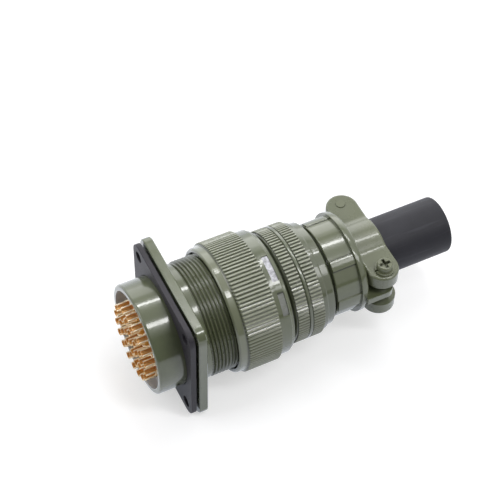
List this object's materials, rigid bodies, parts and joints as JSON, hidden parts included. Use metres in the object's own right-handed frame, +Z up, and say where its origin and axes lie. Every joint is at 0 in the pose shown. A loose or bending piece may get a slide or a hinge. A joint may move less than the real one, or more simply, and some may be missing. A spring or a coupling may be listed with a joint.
{
  "type": "circular connector pair",
  "caption": "Square-flange box receptacle mated with a straight plug that has a knurled coupling nut, end bell, two-saddle cable clamp and rubber bushing.",
  "frame": {"origin": "centre of the flange's rear face, which is the centre of its four bolt holes", "axes": "+X along the connector towards the cable, +Z up and +Y across, both square to the flange"},
  "size_m": [0.1283, 0.0508, 0.0508],
  "materials": {
    "shell_paint": "gloss",
    "nut_paint": "gloss",
    "bell_paint": "gloss",
    "clamp_paint": "gloss",
    "saddle_paint": "satin",
    "screw_paint": "satin",
    "gasket_rubber": "satin",
    "bushing_rubber": "satin",
    "insert_resin": "satin",
    "contact_gold": "polished",
    "ring_steel": "satin"
  },
  "bodies": {
    "receptacle": {"receptacle_shell": "shell_paint", "flange_gasket": "gasket_rubber", "receptacle_insert": "insert_resin", "receptacle_insert_ring": "ring_steel", "pin_contact_01": "contact_gold", "pin_contact_02": "contact_gold", "pin_contact_03": "contact_gold", "pin_contact_04": "contact_gold", "pin_contact_05": "contact_gold", "pin_contact_06": "contact_gold", "pin_contact_07": "contact_gold", "pin_contact_08": "contact_gold", "pin_contact_09": "contact_gold", "pin_contact_10": "contact_gold", "pin_contact_11": "contact_gold", "pin_contact_12": "contact_gold", "pin_contact_13": "contact_gold", "pin_contact_14": "contact_gold", "pin_contact_15": "contact_gold", "pin_contact_16": "contact_gold", "pin_contact_17": "contact_gold", "pin_contact_18": "contact_gold", "pin_contact_19": "contact_gold", "pin_contact_20": "contact_gold", "pin_contact_21": "contact_gold", "pin_contact_22": "contact_gold", "pin_contact_23": "contact_gold", "pin_contact_24": "contact_gold", "pin_contact_25": "contact_gold", "pin_contact_26": "contact_gold", "pin_contact_27": "contact_gold", "pin_contact_28": "contact_gold", "pin_contact_29": "contact_gold", "pin_contact_30": "contact_gold", "pin_contact_31": "contact_gold", "pin_contact_32": "contact_gold", "pin_contact_33": "contact_gold", "pin_contact_34": "contact_gold", "pin_contact_35": "contact_gold", "pin_contact_36": "contact_gold", "pin_contact_37": "contact_gold"},
    "plug": {"plug_shell": "shell_paint", "plug_insert": "insert_resin", "plug_insert_ring": "ring_steel", "nut_retaining_ring": "ring_steel", "end_bell": "bell_paint", "clamp_body": "clamp_paint", "cable_bushing": "bushing_rubber"},
    "nut": {"coupling_nut": "nut_paint"},
    "upper_clamp": {"upper_saddle": "saddle_paint", "near_lock_washer": "screw_paint"},
    "lower_clamp": {"lower_saddle": "saddle_paint", "far_lock_washer": "screw_paint"},
    "near_screw": {"near_clamp_screw": "screw_paint"},
    "far_screw": {"far_clamp_screw": "screw_paint"}
  },
  "joints": [
    {"name": "plug_slide", "type": "slide", "parent": "receptacle", "child": "plug", "axis": [1, 0, 0], "range_m": [0, 0.0169]},
    {"name": "nut_turn", "type": "hinge", "parent": "plug", "child": "nut", "pos_m": [0.0305, 0, 0], "axis": [1, 0, 0], "range_deg": [0, 4320]},
    {"name": "upper_saddle_lift", "type": "slide", "parent": "plug", "child": "upper_clamp", "axis": [0, 0, 1], "range_m": [0, 0.00079]},
    {"name": "lower_saddle_drop", "type": "slide", "parent": "plug", "child": "lower_clamp", "axis": [0, 0, -1], "range_m": [0, 0.0008]},
    {"name": "near_screw_turn", "type": "hinge", "parent": "upper_clamp", "child": "near_screw", "pos_m": [0.0785, -0.017, 0.0108], "axis": [0, 0, 1], "range_deg": [0, 720]},
    {"name": "far_screw_turn", "type": "hinge", "parent": "lower_clamp", "child": "far_screw", "pos_m": [0.0785, 0.017, -0.0108], "axis": [0, 0, -1], "range_deg": [0, 720]}
  ],
  "couplings": [
    {"joint": "nut_turn", "follows": "plug_slide", "rad_per_m": 4452.7},
    {"joint": "lower_saddle_drop", "follows": "upper_saddle_lift", "ratio": 1},
    {"joint": "near_screw_turn", "follows": "upper_saddle_lift", "rad_per_m": 15828},
    {"joint": "far_screw_turn", "follows": "upper_saddle_lift", "rad_per_m": 15828}
  ]
}
